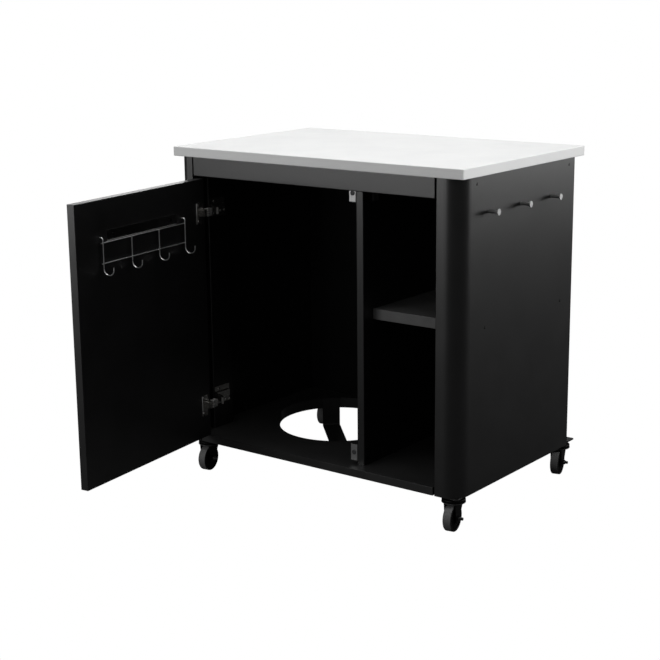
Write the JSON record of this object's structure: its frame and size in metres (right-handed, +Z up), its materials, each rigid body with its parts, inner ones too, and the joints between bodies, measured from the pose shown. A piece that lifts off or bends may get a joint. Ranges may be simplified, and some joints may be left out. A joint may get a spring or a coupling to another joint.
{
  "type": "grill cart with storage",
  "caption": "Rolling outdoor grill cart: pale worktop, black steel cabinet with a hinged bottle-bay door, hook rack, open shelf bay and swivel casters.",
  "frame": {"origin": "middle of the worktop's top face, 0.9035 m above the floor", "axes": "+X to the cart's right as seen from the front, +Y to its rear, +Z up, out of the worktop"},
  "size_m": [0.92, 1.1424, 0.9035],
  "materials": {
    "worktop_stone": "honed, pale grey white",
    "black_steel": "fine satin powder coat",
    "screw_steel": "blackened",
    "hinge_nickel": "nickel plated",
    "bracket_zinc": "zinc plated",
    "magnet_dark": "sintered",
    "peg_stainless": "turned stainless",
    "rack_chrome": "polished",
    "caster_steel": "dull zinc",
    "caster_black": "satin black",
    "wheel_hub": "moulded",
    "tyre_grey": "matt grey tread"
  },
  "bodies": {
    "root": {"worktop": "worktop_stone", "front_apron": "black_steel", "rear_top_rail": "black_steel", "left_top_rail": "black_steel", "right_top_rail": "black_steel", "left_side_panel": "black_steel", "right_side_panel": "black_steel", "back_panel": "black_steel", "base_tray": "black_steel", "rear_ledge": "black_steel", "bottle_collar": "black_steel", "bottle_strap": "black_steel", "divider_panel": "black_steel", "shelf": "black_steel", "hinge_rail": "black_steel", "hinge_mount_upper": "hinge_nickel", "hinge_mount_lower": "hinge_nickel", "side_peg_front": "peg_stainless", "side_peg_middle": "peg_stainless", "side_peg_rear": "peg_stainless", "panel_screws": "screw_steel", "catch_bracket_upper": "bracket_zinc", "catch_bracket_lower": "bracket_zinc", "catch_magnet_upper": "magnet_dark", "catch_magnet_lower": "magnet_dark", "catch_screws": "screw_steel", "divider_bracket": "bracket_zinc", "corner_plates": "black_steel", "caster_nuts": "bracket_zinc", "caster_mount_front_right": "caster_steel", "caster_mount_front_left": "caster_steel", "caster_mount_rear_right": "caster_steel", "caster_mount_rear_left": "caster_steel"},
    "door": {"door_panel": "black_steel", "door_liner": "black_steel", "hinge_cup_upper": "hinge_nickel", "hinge_cup_lower": "hinge_nickel", "hook_rack_plate": "rack_chrome", "hook_rack_rails": "rack_chrome", "rack_hook_1": "rack_chrome", "rack_hook_2": "rack_chrome", "rack_hook_3": "rack_chrome", "rack_hook_4": "rack_chrome", "hook_rack_screws": "screw_steel"},
    "fork_front_right": {"caster_fork_front_right": "caster_black", "caster_axle_front_right": "caster_steel"},
    "wheel_front_right": {"caster_wheel_front_right": "wheel_hub", "caster_tyre_front_right": "tyre_grey"},
    "fork_front_left": {"caster_fork_front_left": "caster_black", "caster_axle_front_left": "caster_steel"},
    "wheel_front_left": {"caster_wheel_front_left": "wheel_hub", "caster_tyre_front_left": "tyre_grey"},
    "fork_rear_right": {"caster_fork_rear_right": "caster_black", "caster_axle_rear_right": "caster_steel"},
    "wheel_rear_right": {"caster_wheel_rear_right": "wheel_hub", "caster_tyre_rear_right": "tyre_grey"},
    "fork_rear_left": {"caster_fork_rear_left": "caster_black", "caster_axle_rear_left": "caster_steel"},
    "wheel_rear_left": {"caster_wheel_rear_left": "wheel_hub", "caster_tyre_rear_left": "tyre_grey"}
  },
  "joints": [
    {"name": "door_hinge", "type": "hinge", "parent": "root", "child": "door", "pos_m": [-0.399, -0.279, -0.435], "axis": [0, 0, 1], "range_deg": [-22, 83.05]},
    {"name": "swivel_front_right", "type": "hinge", "parent": "root", "child": "fork_front_right", "pos_m": [0.403, -0.242, -0.8235], "axis": [0, 0, 1], "continuous": true},
    {"name": "spin_front_right", "type": "hinge", "parent": "fork_front_right", "child": "wheel_front_right", "pos_m": [0.40418, -0.24991, -0.8685], "axis": [0.989, 0.1478, 0], "continuous": true},
    {"name": "swivel_front_left", "type": "hinge", "parent": "root", "child": "fork_front_left", "pos_m": [-0.403, -0.242, -0.8235], "axis": [0, 0, 1], "continuous": true},
    {"name": "spin_front_left", "type": "hinge", "parent": "fork_front_left", "child": "wheel_front_left", "pos_m": [-0.40182, -0.24991, -0.8685], "axis": [0.989, 0.1478, 0], "continuous": true},
    {"name": "swivel_rear_right", "type": "hinge", "parent": "root", "child": "fork_rear_right", "pos_m": [0.403, 0.291, -0.8235], "axis": [0, 0, 1], "continuous": true},
    {"name": "spin_rear_right", "type": "hinge", "parent": "fork_rear_right", "child": "wheel_rear_right", "pos_m": [0.4048, 0.2832, -0.8685], "axis": [0.9744, 0.225, 0], "continuous": true},
    {"name": "swivel_rear_left", "type": "hinge", "parent": "root", "child": "fork_rear_left", "pos_m": [-0.403, 0.291, -0.8235], "axis": [0, 0, 1], "continuous": true},
    {"name": "spin_rear_left", "type": "hinge", "parent": "fork_rear_left", "child": "wheel_rear_left", "pos_m": [-0.4012, 0.2832, -0.8685], "axis": [0.9744, 0.225, 0], "continuous": true}
  ]
}
